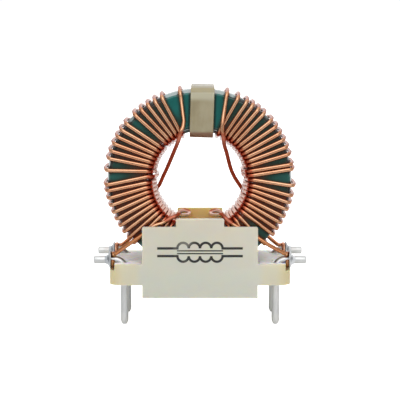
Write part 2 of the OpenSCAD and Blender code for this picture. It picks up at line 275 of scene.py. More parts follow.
def buildUneven():
    # Height = broad wave * its share + fine grain * the rest. Blotch = a slower noise, stretched to
    # reach from 0 to 1. Roughness = the base value + the spread * (wave - 0.5).
    group = bpy.data.node_groups.new("unevenSurface", "ShaderNodeTree")
    socket, number = group.interface.new_socket, "NodeSocketFloat"
    socket(name="Vector", in_out="INPUT", socket_type="NodeSocketVector")
    for label in unevenInputs:
        socket(name=label, in_out="INPUT", socket_type=number)
    for label in ("Height", "Blotch", "Roughness"):
        socket(name=label, in_out="OUTPUT", socket_type=number)
    n = Nodes(group)
    given = n.add("NodeGroupInput").outputs
    result = n.add("NodeGroupOutput").inputs
    grain = n.noise(given["Vector"], given["Grain Scale"], 4)
    wave = n.noise(given["Vector"], given["Wave Scale"], 2)
    slower = n.noise(given["Vector"], n.times(given["Wave Scale"], 0.35), 4)
    grainHeight = n.times(grain, n.minus(1.0, given["Wave Share"]))
    n.feed(n.plus(n.times(wave, given["Wave Share"]), grainHeight), result["Height"])
    n.feed(n.ramp(slower, 0.35, 0.65), result["Blotch"])
    spread = n.times(n.minus(wave, 0.5), given["Spread"])
    n.feed(n.plus(given["Roughness"], spread), result["Roughness"])
    return group


unevenGroup = buildUneven()


def strayed(n, value, reach):
    # value + (blotch - 0.5) * reach, so that a tint's edge wanders
    return n.plus(value, n.times(n.minus(n.places["blotch"], 0.5), reach))


def newMaterial(name, fixed):
    # a node material, with what is the same all over it set on the shader's own sockets
    material = bpy.data.materials.new(name)
    material.use_nodes = True
    shader = material.node_tree.nodes["Principled BSDF"].inputs
    for key, value in fixed.items():
        shader[key].default_value = value
    return material, Nodes(material.node_tree), shader


def startFinish(name, facts):
    # A piece's material, with its unevenness. The places that masks go by are X, Y and Z in
    # millimetres, out = |X|, deep = |Y|, away = the distance from the ring's axis, and the blotch.
    material, n, shader = newMaterial(name, facts["shader"])
    place = n.add("ShaderNodeTexCoord").outputs["Object"]
    scaled = n.add("ShaderNodeVectorMath", {0: place, "Scale": 1 / mm}, operation="SCALE")
    x, y, z = n.add("ShaderNodeSeparateXYZ", {0: scaled.outputs[0]}).outputs
    values = {"Vector": place, **dict(zip(unevenInputs, facts["uneven"]))}
    uneven = n.add("ShaderNodeGroup", values, node_tree=unevenGroup).outputs
    n.places = {
        "x": x, "y": y, "z": z, "out": n.absolute(x), "deep": n.absolute(y),
        "away": n.distance(x, n.minus(z, ring["axisHeight"])), "blotch": uneven["Blotch"],
    }
    return material, n, shader, place, uneven


def endFinish(n, shader, base, roughness, height, bump):
    # the colour, the roughness, and a height from 0 to 1 with its bump's strength and metres
    n.feed(base, shader["Base Color"])
    n.feed(roughness, shader["Roughness"])
    values = {"Height": height, "Strength": bump[0], "Distance": bump[1]}
    n.feed(n.add("ShaderNodeBump", values).outputs[0], shader["Normal"])


def colour(red, green, blue):
    # an sRGB colour of 0 to 255 as the linear colour that Blender wants
    value = np.array([red, green, blue]) / 255
    linear = np.where(value <= 0.04045, value / 12.92, ((value + 0.055) / 1.055) ** 2.4)
    return (*linear.tolist(), 1.0)


# A mask names places, each with numbers: two are where it starts and where it is full, a third is
# how strong it gets, and four are where it starts, is full, is full for the last time and ends. A
# tint is a colour with its mask.
ring = {
    "outside": 25.9, "bore": 13.8, "thick": 10.6, "axisHeight": 16.55, "taper": 3.0,
    "rimDrop": 0.35, "boreDrop": 0.6, "rimRound": 0.25, "boreRound": 0.5, "slack": 0.07,
}
# "streaks" is how often they repeat round the wire and along a millimetre of it
wire = {
    "across": 0.57, "play": 0.03, "rimBend": 0.55, "boreBend": 0.75, "bulge": 0.45,
    "lowestTurn": 148.5, "leadOut": 0.2, "snug": 0.001, "sides": 16, "bendSteps": 7,
    "slopeAt": [0.06, 1.0], "leadSteps": 6,
    "enamel": colour(212, 168, 134), "enamelDeep": colour(198, 138, 102),
    # the pale colours are painted reflection of the white surroundings over the rim, in the bore
    # and on the leads' low loops
    "wetted": colour(150, 138, 116), "paleSheen": colour(248, 186, 154), "loop": colour(255, 218, 204),
    # the inner red is painted shade and copper-on-copper reflection where the turns bend into the
    # bore
    "inner": colour(172, 80, 52), "free": colour(200, 122, 98), "brown": colour(196, 124, 74),
    "shader": {"Specular Tint": (0.55, 0.2, 0.13, 1.0), "Coat Roughness": 0.08},
    "uneven": (5200, 900, 0.6, 0.24, 0.12), "bump": (0.08, 0.00003),
    "streaks": (14.0, 0.5, 1.0), "streakShare": 0.4, "streakHeight": 0.5,
    "atPin": {"out": (11.85, 12.25), "z": (7.0, 6.2)}, "wetStray": 0.5, "wetEdge": (0.35, 0.75),
    "landing": {"out": (6.5, 8.5), "z": (11.5, 10.0, 0.65)},
    "bendShade": {"away": (7.85, 7.35), "deep": (4.4, 4.9, 0.9)}, "hanging": {"away": (7.6, 7.0)},
    "within": {"away": (5.7, 5.9, 7.2, 7.45)}, "onTurn": {"deep": (4.9, 4.4)},
    "onLoop": {"z": (11.9, 11.3), "y": (-4.9, -4.4)},
    "overRim": {"away": (12.95, 13.2), "deep": (5.6, 5.3)}, "rimSheen": 0.6,
    "wetDull": 0.12, "freeDull": 0.3, "boreMetal": -0.8,
    "coat": 0.1, "boreCoat": 0.65, "rimCoat": 0.45,
}
# "tip" is heights above the tail's end and shares of the radius, and "hair" is a very short step
pin = {
    "across": 1.1, "pitchX": 21.68, "pitchY": 10.16, "tail": 4.1, "span": 30.4, "bend": 1.4,
    "level": 5.2, "chamfer": 0.12, "gripOut": 0.02, "footHeight": 1.85, "sides": 28,
    "bendSteps": 15, "hair": 0.01, "underGrip": 0.6, "fromEnd": (2.0, 1.0), "endRound": 0.94,
    "tip": [[0, 0.42], [0.04, 0.55], [0.2, 0.73], [0.4, 0.91], [0.55, 1], [1.2, 1]],
    "dull": colour(206, 208, 208), "bright": colour(225, 225, 223),
    "tints": [
        # flux leaves a dull film on the upper side of the bend, inside the wrap
        (colour(150, 146, 120), {"out": (12.3, 11.9), "z": (4.6, 5.4), "blotch": (0.2, 0.9, 0.5)}),
    ],
    "shader": {"Metallic": 1.0, "Specular Tint": (0.7, 0.7, 0.7, 1.0)},
    "uneven": (3800, 600, 0.5, 0.44, 0.14), "bump": (0.2, 0.00005),
}
# "lip" is places along the pin and heights over the wire, "collar" is lengths past the wire and
# depths under the outside, and "hollow" is lengths past the wire and heights over the pin
joint = {
    "wrapX": 12.5, "wrapStep": 30.8, "wrapFrom": -36, "wrapTo": 272.5, "wrapIn": 0.1, "skin": 0.12,
    "clear": 0.02, "sides": 40, "waves": (1, 2, 3, 5), "waveHeight": 0.02,
    "waveStart": 6.28, "wavesFrom": 0.25, "wavesOver": 0.5,
    "lip": [[0.24, 0], [0.2, 0.03], [0.22, 0.08]],
    "collar": [[-0.035, 0.01], [0.02, 0], [0.09, 0.05], [0.16, 0.2], [0.25, 0.4]],
    "hollow": [[0.36, 0.17], [0.5, 0.08], [0.64, 0.03], [0.79, 0.012], [0.8, 0]],
    "dull": colour(186, 190, 194), "bright": colour(220, 222, 224),
    "tints": [(colour(140, 128, 104), {"out": (12.82, 12.68, 0.55)})],  # flux towards the wire
    "shader": {"Metallic": 1.0}, "uneven": (2400, 800, 0.7, 0.3, 0.2), "bump": (0.4, 0.00012),
}

# A bunch is its turns, the gap before it, the lean of its first and last turn, and how far off
# the bore. A bulge is an angle and its share of the full bulge off the rim. A lead's row is the
# angle, the distance out from the leads' own circle, the place between the faces from -1 to 1, and
# the layers of wire further out. Angles, gaps and leans are in degrees down from the top.
windings = {
    "left": {
        "side": -1, "start": 22.2, "lastRim": 12.7,
        "bulge": [[10, 0.2], [25, 0.45], [35, 0.53], [47, 0.85], [60, 0.92], [75, 1.02], [85, 1.1],
                  [95, 0.95], [103, 0.66], [112, 0.36], [122, 0.25], [132, 0.05], [140, 0]],
        "bunches": [[5, 0, 2.2, 2.3, 0], [6, 2.3, 2.7, 1.8, 0], [1, 0.6, 3.6, 3.6, 0],
                    [1, 0.6, 6.9, 6.9, 0.35], [9, 2, 3.7, 1.2, 0], [3, 0.6, 5.9, 1, 0]],
        "frontLead": [[131.7, 6.5, -1, -0.8], [133, 4.5, -1, -1.05], [134, 2.5, -1, -1.05],
                      [137.9, 1.3, -1, -1], [139.8, 0.55, -1, -1], [141.7, -0.1, -1, -1],
                      [144.8, -0.62, -1, -0.8]],
        "returnLead": [[15, 2.1, -1, 0], [17.3, 1.3, -1, -0.8], [21.5, 0.72, -1, -1.05],
                       [26.5, -0.1, -1, -0.7], [32.3, -0.65, -0.94, 0], [44.3, -1.36, -0.57, 0],
                       [59.2, -1.77, -0.2, 0], [75.8, -1.78, 0.18, 0], [91.4, -1.33, 0.55, 0],
                       [103.5, -0.62, 0.9, 0], [108.3, -0.04, 1, 0.75]],
    },
    "right": {
        "side": 1, "start": 21.5, "lastRim": 17.3,
        "bulge": [[10, 0.2], [28, 0.4], [38, 0.52], [50, 0.75], [60, 0.62], [72, 0.62], [82, 0.5],
                  [90, 0.85], [96, 0.75], [104, 0.4], [112, 0.12], [122, 0]],
        "bunches": [[1, 0, 3, 3, 0], [4, 1.8, 2.2, 0.2, 0], [6, 0, 1.4, 0.2, 0],
                    [2, 1, 0.7, -1.2, 0.3], [1, 0.2, 3.8, 3.8, 0], [3, 1.2, 3.9, 3, 0],
                    [4, 0.9, 2, 0.4, 0], [1, 1.4, 2, 2, 0], [3, 0.5, 6, 1, 0]],
        "frontLead": [[132.7, 6.8, -1, -0.8], [134.3, 5, -1, -1.05], [137.4, 3.1, -1, -1.05],
                      [141.7, 1.3, -1, -1.05], [144.3, 0.3, -1, -1], [145.6, -0.4, -1, -0.8]],
        "returnLead": [[19.3, 3.3, -1, -0.5], [21, 2.1, -1, -1.05], [23.6, 1.05, -1, -1.05],
                       [28.3, 0.25, -1, -0.95], [33.9, -0.6, -0.91, 0], [44.6, -1.35, -0.53, 0],
                       [58.3, -1.92, -0.18, 0], [74.9, -2.12, 0.2, 0], [91.5, -1.73, 0.55, 0],
                       [104, -0.78, 0.9, 0], [108.9, -0.2, 1, 0.75]],
    },
}
# both wires' way from the front through the bore to the loop, and from the rear face to the pin
borePass = [[146.5, -0.65, -0.9, 0], [149.5, -0.6, -0.45, 0], [152.8, -0.36, 0, 0],
            [158.5, -0.3, 0.55, 0], [162.4, -0.34, 0.78, 0], [164.5, -0.5, 0.94, 0],
            [163.6, -0.68, 1, 0.25], [158, -0.68, 1, 0.6], [153, -0.3, 1, 0.8],
            [150.4, 0.6, 1, 0.8], [149.5, 2.5, 1, 0.3]]
rearDrop = [[119.4, 1.66, 1, 1.05], [125.7, 3.25, 1, 1.05], [131.8, 5.7, 1, 1.05],
            [132.7, 7.1, 1, 0.9], [132.6, 8.1, 1, 0.6]]
# where a lead leaves its wrap: inwards from the wrap, out from the pin's middle, and up
frontTouch, rearTouch = [0.5, 0.42, 0.98], [0.8, 0.62, 0.72]

wireRadius = wire["across"] / 2
layer = wire["across"] + wire["play"]
faceY = ring["thick"] / 2 + wire["play"] + wireRadius
boreWire = ring["bore"] / 2 - wire["play"] - wireRadius
rimWire = ring["outside"] / 2 + wire["play"] + wireRadius
turnPitch = 2 * math.degrees(math.asin((wire["across"] + wire["snug"]) / 2 / boreWire))
straight = ring["thick"] / 2 - ring["taper"]
# the wrap's corners stand out so far that the flats between them clear the pin
wrapRadius = pin["across"] / 2 + wire["play"] + wireRadius
wrapRadius /= math.cos(math.radians(joint["wrapStep"] / 2))


def ringPoint(side, angle, radius, y):
    # (side * radius * sin angle, y, axis height + radius * cos angle)
    a = np.radians(angle)
    x, z = side * radius * np.sin(a), ring["axisHeight"] + radius * np.cos(a)
    return np.stack(np.broadcast_arrays(x, y, z), -1)


def leadPoints(side, table, out=wire["leadOut"]):
    # each row of the table as a point: radius = the bore's wire + out + the row's distance, and
    # y = the row's place between the faces + its layers of wire
    t = np.array(table)
    return ringPoint(side, t[:, 0], boreWire + out + t[:, 1], t[:, 2] * faceY + t[:, 3] * layer)


def overEdge(side, angle, outside, bend, drop, face):
    # From one flat face over an edge of the ring to the other: a quarter circle, with radius = the
    # taper's drop + bend * (1 - sin a) and y = faceY - bend * (1 - cos a), points down the taper,
    # and the same mirrored. The drop is inwards on the rim and outwards in the bore.
    a = np.radians(np.linspace(0, 90, wire["bendSteps"]))
    slope = np.array(wire["slopeAt"])
    run = faceY - bend - straight
    dropped = drop * run / ring["taper"]
    off = np.concatenate([dropped + np.sign(drop) * bend * (1 - np.sin(a)), dropped * (1 - slope)])
    y = np.concatenate([faceY - bend * (1 - np.cos(a)), straight + run * (1 - slope)])
    off, y = np.concatenate([off, off[::-1]]), np.concatenate([y, -y[::-1]])
    radius = np.asarray(outside)[..., None] + off
    return ringPoint(side, np.asarray(angle)[..., None], radius, face * y)


def rimBulge(facts, angle):
    # the full bulge * the winding's share of it at the angle, in straight steps between its rows
    at, share = np.array(facts["bulge"], float).T
    return wire["bulge"] * np.interp(angle, at, share)


def overRim(facts, angle):
    # over the rim from the front, its bulge further out than the rim's own wire
    outside = rimWire + rimBulge(facts, angle)
    return overEdge(facts["side"], angle, outside, wire["rimBend"], -ring["rimDrop"], 1)


def pinWrap(side, face):
    # the wire's circle round its pin: (wrap's x, pin's y - radius * sin a, level + radius * cos a)
    # over the top, down the inner side, under and up again
    a = np.arange(joint["wrapFrom"], joint["wrapTo"], joint["wrapStep"])
    x = side * (joint["wrapX"] - np.where(a < 0, joint["wrapIn"], 0))
    y = face * (pin["pitchY"] / 2 - wrapRadius * np.sin(np.radians(a)))
    return np.stack([x, y, pin["level"] + wrapRadius * np.cos(np.radians(a))], -1)


def pinTouch(side, face):
    # the wrap's x - inwards, the pin's y + out, and the pin's level + up
    inwards, out, up = frontTouch if face < 0 else rearTouch
    x, y = side * (joint["wrapX"] - inwards), face * (pin["pitchY"] / 2 + out)
    return np.array([[x, y, pin["level"] + up]])


def turnTable(facts):
    # Rows of bore angle, rim angle and stand-off, from the lowest turn up to the clip. Bore angle
    # = the bunch's start + the turn's number * the pitch, and rim angle = bore angle + lean.
    rows, start = [], facts["start"]
    for turns, gap, leanFirst, leanLast, off in facts["bunches"]:
        start += gap
        bore = start + np.arange(turns) * turnPitch
        rim = bore + np.linspace(leanFirst, leanLast, turns)
        rows.append(np.stack([bore, rim, np.full(turns, off)], -1))
        start += turns * turnPitch
    rows = np.vstack(rows)
    return rows[rows[:, 0] <= wire["lowestTurn"]][::-1]


def windingPath(facts):
    # The wire from front pin to rear pin: a smooth lead through the bore to the loop, the turns,
    # the last one beside the clip, and a smooth lead back through the hole. With it goes 1 for
    # each point on the leads and 0 for one on the turns.
    side = facts["side"]
    bore, rim, off = turnTable(facts).T
    throughBore = overEdge(side, bore, boreWire - off, wire["boreBend"], ring["boreDrop"], -1)
    coil = np.concatenate([overRim(facts, rim), throughBore], axis=1).reshape(-1, 3)
    frontEnd = np.vstack([
        pinWrap(side, -1)[::-1], pinTouch(side, -1), leadPoints(side, facts["frontLead"]),
        leadPoints(side, borePass, 0)])
    rearEnd = np.vstack([
        leadPoints(side, facts["returnLead"]), leadPoints(side, rearDrop), pinTouch(side, 1),
        pinWrap(side, 1)])
    turns = np.vstack([coil, overRim(facts, facts["lastRim"])])
    steps = wire["leadSteps"]
    parts = [smoothCurve(frontEnd, steps), turns, smoothCurve(rearEnd, steps)]
    loose = np.repeat([1.0, 0.0, 1.0], [len(part) for part in parts])
    return np.vstack(parts), loose


def copperMaterial():
    # Tone = blotches * their share + streaks along the wire * theirs. The masks say where on the
    # ring or by the pins the wire's colour, roughness, metal and coat are different.
    material, n, shader, _, uneven = startFinish("enamelledCopper", wire)
    lengthwise = n.add("ShaderNodeUVMap", uv_map="surface").outputs[0]
    streak, share = n.noise(n.stretched(lengthwise, wire["streaks"]), 1.0), wire["streakShare"]
    tone = n.plus(n.times(uneven["Blotch"], 1 - share), n.times(streak, share))
    base = n.mix(tone, wire["enamelDeep"], wire["enamel"])
    # solder and flux darken and dull the wire where it goes round its pin
    wetted = n.ramp(strayed(n, n.mask(wire["atPin"]), wire["wetStray"]), *wire["wetEdge"])
    base = n.mix(wetted, base, wire["wetted"])
    # the leads are browner where they come down to their pins, and a darker red is painted on
    # the turns where they bend into the bore: painted shade and copper reflecting copper
    lead = n.numbers("lead")
    base = n.mix(n.times(lead, n.mask(wire["landing"])), base, wire["brown"])
    base = n.mix(n.mask(wire["bendShade"]), base, wire["inner"])
    # painted reflection of the white surroundings makes the wire pale over the rim, in the bore
    # and over the leads' low loops, where its coat is also thicker; not where the leads hang free
    within, notLead = n.mask(wire["within"]), n.minus(1.0, lead)
    onLoop = n.times(within, lead, n.mask(wire["onLoop"]))
    inBore = n.plus(n.times(within, notLead, n.mask(wire["onTurn"])), onLoop)
    hanging = n.times(lead, n.mask(wire["hanging"]), n.minus(1.0, inBore))
    overRim = n.mask(wire["overRim"])
    base = n.mix(hanging, base, wire["free"])
    # painted reflection of the white surroundings
    base = n.mix(n.times(overRim, wire["rimSheen"]), base, wire["paleSheen"])
    base = n.mix(onLoop, n.mix(inBore, base, wire["paleSheen"]), wire["loop"])
    n.feed(n.math("MULTIPLY_ADD", inBore, wire["boreMetal"], 1.0), shader["Metallic"])
    coated = n.math("MULTIPLY_ADD", inBore, wire["boreCoat"], wire["coat"])
    coated = n.plus(coated, n.times(overRim, wire["rimCoat"]))
    n.feed(n.times(coated, n.minus(1.0, hanging)), shader["Coat Weight"])
    duller = n.plus(n.times(wetted, wire["wetDull"]), n.times(hanging, wire["freeDull"]))
    height = n.plus(n.times(streak, wire["streakHeight"]), uneven["Height"])
    endFinish(n, shader, base, n.plus(uneven["Roughness"], duller), height, wire["bump"])
    return material


def tubeUv(path, sides):
    # across = the share of the way round, along = the length from the start in millimetres
    return np.stack(np.meshgrid(np.arange(sides) / sides, lengthAlong(path)), -1)


copper = copperMaterial()
wirePaths = []
for name, facts in windings.items():
    path, loose = windingPath(facts)
    wirePaths.append(path)
    tube = sweepRound(path, wireRadius, wire["sides"])
    winding = addGrid(name + "Winding", tube, uv=tubeUv(path, wire["sides"]))
    addNumbers(winding, "lead", np.repeat(loose, wire["sides"]))
    finishPiece(winding, copper, "winding_" + name)
    print(name, "winding:", len(turnTable(facts)), "turns,", len(path), "rings")


# "hookAt" is how far from the hook's end its first stations are, and "hookDraw" is how much
# smaller the first two are; the gaps keep a straight stretch off its bends
clip = {
    "width": 3.35, "thick": 0.5, "round": 1.1, "hook": 2.6, "turn": 1.7, "play": 0.05,
    "edge": 0.13, "edgeSteps": 5, "bendSteps": 9, "sideSteps": 6, "roofSteps": 5,
    "hookAt": (0, 0.04, 0.13, 0.6), "hookDraw": (0.1, 0.03), "hookGap": 0.1, "sideGap": 0.15,
    "roofGap": 0.6,
    "face": colour(168, 159, 132), "deep": colour(149, 138, 108), "tone": (0.2, 0.8),
    # the first three tints are painted light and shade on the upper bend and roof
    "tints": [
        (colour(186, 181, 158), {"z": (27.7, 28.5)}),  # painted light, lighter from just below the upper bend
        (colour(164, 154, 122), {"z": (29.05, 29.2)}),  # painted shade, olive on the bend
        (colour(170, 163, 146), {"z": (29.68, 29.85)}),  # painted light, paler over the roof
        (colour(130, 96, 72), {"z": (23.7, 23.3)}),  # brown at the lower bend
    ],
    "shader": {
        "Subsurface Weight": 0.5, "Subsurface Radius": (1.0, 0.8, 0.45), "Subsurface Scale": 0.0006,
    },
    "uneven": (3600, 520, 0.6, 0.36, 0.14), "bump": (0.2, 0.00006),
    "flow": (1.0, 0.25, 0.25), "flowScale": 1400, "flowShare": 0.5,
}
clipTurn = math.radians(clip["turn"])


def clipPath():
    # The strip's middle line in (y, z from the ring's axis): along the front hook, a quarter
    # circle, up, a quarter circle and along the roof; then the same mirrored, over and down.
    reach = clip["play"] + clip["thick"] / 2
    half, roof = ring["thick"] / 2 + reach, ring["outside"] / 2 + reach
    low = math.sqrt((ring["bore"] / 2) ** 2 - (clip["width"] / 2) ** 2) - reach
    r = clip["round"] - clip["thick"] / 2
    end = half + clip["thick"] / 2 - clip["hook"]
    gap, steps = clip["sideGap"], clip["bendSteps"]
    up = np.linspace(low + r + gap, roof - r - gap, clip["sideSteps"])
    across = np.linspace(-half + r + gap, -clip["roofGap"], clip["roofSteps"])
    quarter = np.vstack([
        [[-end - back, low] for back in clip["hookAt"]], [[-half + r + clip["hookGap"], low]],
        arc((-half + r, low + r), r, 270, 180, steps), np.stack([np.full(len(up), -half), up], -1),
        arc((-half + r, roof - r), r, 180, 90, steps),
        np.stack([across, np.full(len(across), roof)], -1)])
    return np.vstack([quarter, quarter[::-1] * [-1, 1]])


def clipSection(depth):
    # a rectangle of the strip's width and thickness with quarter-circle edges, drawn in by depth
    e, steps = clip["edge"], clip["edgeSteps"]
    w, t = clip["width"] / 2 - depth - e, clip["thick"] / 2 - depth - e
    middles = [((w, t), 0), ((-w, t), 90), ((-w, -t), 180), ((w, -t), 270)]
    return np.vstack([arc(middle, e, start, start + 90, steps) for middle, start in middles])


def clipPoints():
    # point = path + across the strip * X + through its thickness * the path's own normal, and then
    # turned a little about the ring's axis
    path = clipPath()
    tangent = tangents(path)
    out = np.stack([-tangent[:, 1], tangent[:, 0]], -1)
    depth = np.zeros(len(path))
    depth[[0, -1]], depth[[1, -2]] = clip["hookDraw"]
    outline = np.stack([clipSection(d) for d in depth])
    y = path[:, None, 0] + outline[..., 1] * out[:, None, 0]
    z = path[:, None, 1] + outline[..., 1] * out[:, None, 1]
    x = outline[..., 0]
    return np.stack([x * math.cos(clipTurn) + z * math.sin(clipTurn), y,
                     ring["axisHeight"] + z * math.cos(clipTurn) - x * math.sin(clipTurn)], -1)


def nylonMaterial():
    # tone = blotches and flow lines along the strip, in equal shares, under the tints
    material, n, shader, place, uneven = startFinish("naturalNylon", clip)
    flow, share = n.noise(n.stretched(place, clip["flow"]), clip["flowScale"]), clip["flowShare"]
    tone = n.plus(n.times(uneven["Blotch"], 1 - share), n.times(flow, share))
    base = n.mix(n.ramp(tone, *clip["tone"]), clip["deep"], clip["face"])
    base = n.tinted(base, clip["tints"])
    endFinish(n, shader, base, uneven["Roughness"], uneven["Height"], clip["bump"])
    return material


spacer = addGrid("spacerClip", clipPoints())
finishPiece(spacer, nylonMaterial(), "spacer_clip")
print("spacer clip:", len(spacer.data.polygons), "faces")


# "taperAt", "rimArc" and "boreArc" are first, last and how many: shares of a taper, and degrees
coating = {
    "around": 360, "taperAt": (0.06, 0.94, 7), "rimArc": (7, 90, 6), "boreArc": (90, 167, 8),
    "flatSteps": 22, "middleSteps": 6, "middleGap": 0.1, "swellOver": 2.5, "means": 3,
    "meanReach": 3, "reach": 0.75, "wireStep": 0.3, "batches": 24,
    "face": colour(24, 105, 100), "deep": colour(12, 87, 82), "stray": 0.15,
    "shader": {}, "uneven": (2600, 420, 0.75, 0.14, 0.08), "bump": (0.25, 0.0001),
    # "crowd" is how closely the wires lie, "straying" the same with blotches, and a third the same
    # with less of it high on the ring; they place the painted shade between the turns
    "settledLess": (17.0, 24.0, -0.25),
    "tints": [
        (colour(24, 104, 98), {"deep": (5.0, 5.25), "away": (12.35, 12.55, 0.5)}),  # the thin edge
        (colour(58, 60, 46), {"z": (26.0, 19.0, 0.35)}),  # painted shade, darker and duller low down
        (colour(12, 34, 30), {"beside": (2.1, 1.85, 0.75), "z": (20.0, 21.0)}),  # painted shadow of the clip's sides
        (colour(32, 50, 38), {"straying": (0.35, 0.95, 0.85)}),  # painted shade between the turns
        (colour(106, 40, 10), {"settled": (0.7, 1.55, 0.92)}),  # painted copper-red reflection and shade where they crowd most
    ],
    # the near-black colour is painted shade behind the turns on the rim, and the red is painted
    # copper reflection among the bore's turns
    "rimShade": colour(24, 20, 16), "red": colour(150, 62, 38), "dull": 0.6,
    "behind": {"away": (12.5, 12.65), "deep": (2.4, 3.4), "crowd": (0.42, 0.8, 0.95)},
    "inBore": {"away": (7.5, 7.35)}, "among": {"crowd": (0.3, 0.9, 0.92)},
}


def coreProfile():
    # the section's outline in (radius, y), from the middle of the rim over the front and back in
    # the bore: a straight, a taper, a quarter circle, the flat face, and the same in the bore
    inner, outer, half = ring["bore"] / 2, ring["outside"] / 2, ring["thick"] / 2
    r, b = ring["rimRound"], ring["boreRound"]
    rimEdge, boreEdge = outer - ring["rimDrop"] - r, inner + ring["boreDrop"] + b
    share = np.linspace(*coating["taperAt"])[:, None]
    rimArc = arc((rimEdge, half - r), r, *coating["rimArc"])
    boreArc = arc((boreEdge, half - b), b, *coating["boreArc"])
    flat = np.linspace(rimEdge, boreEdge, coating["flatSteps"] + 2)[1:-1]
    top = np.vstack([
        np.array([outer, straight]) * (1 - share) + rimArc[0] * share, rimArc,
        np.stack([flat, np.full(len(flat), half)], -1), boreArc,
        boreArc[-1] * (1 - share) + np.array([inner, straight]) * share])
    across, gap = coating["middleSteps"], coating["middleGap"]
    middle = np.linspace(straight - gap, gap - straight, across)
    return np.vstack([top, np.stack([np.full(across, inner), middle], -1), top[::-1] * [1, -1],
                      np.stack([np.full(across, outer), -middle], -1)])


def ringSwell():
    # how far the rim stands out of round at each step round the ring: the windings' bulge less
    # the slack, made smooth by running means, each of a step and its neighbours within reach
    degrees = np.arange(coating["around"]) * 360 / coating["around"]
    bulge = np.where(degrees < 180, rimBulge(windings["right"], degrees),
                     rimBulge(windings["left"], 360 - degrees))
    swell = np.maximum(bulge - ring["slack"], 0)
    nearby = range(-coating["meanReach"], coating["meanReach"] + 1)
    for _ in range(coating["means"]):
        swell = sum(np.roll(swell, step) for step in nearby) / len(nearby)
    return swell


def corePoints():
    # (radius * sin a, y, axis height + radius * cos a), for a all the way round, where the radius
    # takes up the rim's swell over the outer part of the face
    radius, y = coreProfile().T
    a = fullTurn(coating["around"])[:, None]
    flatEnd = ring["outside"] / 2 - ring["rimDrop"]
    takenUp = np.clip((radius - flatEnd) / coating["swellOver"] + 1, 0, 1)
    radius = radius + ringSwell()[:, None] * takenUp
    x, z = radius * np.sin(a), ring["axisHeight"] + radius * np.cos(a)
    return np.stack(np.broadcast_arrays(x, y, z), -1)


def wireCrowding(points):
    # sum of exp(-(distance / reach) ^ 2) over even steps of the wires, as a share of what one
    # straight wire on the spot would give
    step, even = coating["wireStep"], []
    for path in wirePaths:
        length = lengthAlong(path)
        at = np.arange(0, length[-1], step)
        even.append(np.stack([np.interp(at, length, path[:, k]) for k in range(3)], -1))
    even = np.vstack(even)
    crowd = []
    for part in np.array_split(points.reshape(-1, 3), coating["batches"]):
        apart = (part**2).sum(-1)[:, None] + (even**2).sum(-1) - 2 * part @ even.T
        crowd.append(np.exp(-apart / coating["reach"] ** 2).sum(-1))
    return np.concatenate(crowd) * step / (coating["reach"] * math.sqrt(math.pi))


def epoxyMaterial():
    # tone = blotches, under the tints; beside = the distance to the side of the clip's middle line
    material, n, shader, _, uneven = startFinish("epoxyCoating", coating)
    base = n.mix(uneven["Blotch"], coating["deep"], coating["face"])
    x, z = n.places["x"], n.places["z"]
    beside = n.minus(n.times(x, math.cos(clipTurn)),
                     n.times(n.minus(z, ring["axisHeight"]), math.sin(clipTurn)))
    crowd = n.numbers("crowding")
    straying = strayed(n, crowd, coating["stray"])
    settled = n.plus(straying, n.ramp(z, *coating["settledLess"]))
    n.places.update(beside=n.absolute(beside), crowd=crowd, straying=straying, settled=settled)
    base = n.tinted(base, coating["tints"])
    # painted shade, near black, behind the turns on the rim, and painted copper-red reflection
    # among them in the bore
    behind, inBore = n.mask(coating["behind"]), n.mask(coating["inBore"])
    base = n.mix(behind, base, coating["rimShade"])
    base = n.mix(n.times(inBore, n.mask(coating["among"])), base, coating["red"])
    duller = n.times(n.math("MAXIMUM", inBore, behind), coating["dull"])
    roughness = n.plus(uneven["Roughness"], duller)
    endFinish(n, shader, base, roughness, uneven["Height"], coating["bump"])
    return material


points = corePoints()
core = addGrid("ringCore", points, closeRows=True)
addNumbers(core, "crowding", wireCrowding(points))
finishPiece(core, epoxyMaterial(), "core")
print("ring core:", len(core.data.polygons), "faces")


def pinPath():
    # up the leg, round the quarter bend and level to the end, for the front right pin in (x, z),
    # with each station's radius and whether it is in the six-sided grip
    r, leg, foot = pin["across"] / 2, pin["level"] - pin["bend"], pin["footHeight"]
    hair, chamfer = pin["hair"], pin["chamfer"]
    low = [[up - pin["tail"], share * r] for up, share in pin["tip"]]
    low += [[foot - pin["underGrip"], r], [foot - hair, r]]
    grip = [[foot, r], [foot + hair, r], [leg - hair, r], [leg, r]]
    z, radius = np.array(low + grip).T
    bend = arc((pin["pitchX"] / 2 + pin["bend"], leg), pin["bend"], 180, 90, pin["bendSteps"])[1:]
    fromEnd = np.array([*pin["fromEnd"], chamfer, chamfer / 2, 0.0])
    endRadius = r * np.array([1.0, 1.0, 1.0, pin["endRound"], 1 - chamfer / r])
    path = np.vstack([
        np.stack([np.full(len(z), pin["pitchX"] / 2), z], -1), bend,
        np.stack([pin["span"] / 2 - fromEnd, np.full(len(fromEnd), pin["level"])], -1)])
    inGrip = np.zeros(len(path), bool)
    inGrip[len(low) : len(low) + len(grip) - 1] = True
    return path, np.concatenate([radius, np.full(len(bend), r), endRadius]), inGrip


def pinPoints(side, face):
    # point = path + across * cos a * out + across * sin a * Y, where across is the radius, or in
    # the grip the flats' distance / cos of the angle from the nearest flat's middle
    path, radius, inGrip = pinPath()
    path = np.stack([path[:, 0], np.full(len(path), face * pin["pitchY"] / 2), path[:, 1]], -1)
    a = fullTurn(pin["sides"])
    flat = (pin["across"] / 2 + pin["gripOut"]) / np.cos((a % (np.pi / 3)) - np.pi / 6)
    across = np.where(inGrip[:, None], flat, radius[:, None])
    sideways = np.array([0.0, 1.0, 0.0])
    out = np.cross(sideways, tangents(path))
    points = path[:, None] + (across * np.cos(a))[..., None] * out[:, None]
    return onSide(points + (across * np.sin(a))[..., None] * sideways, side)


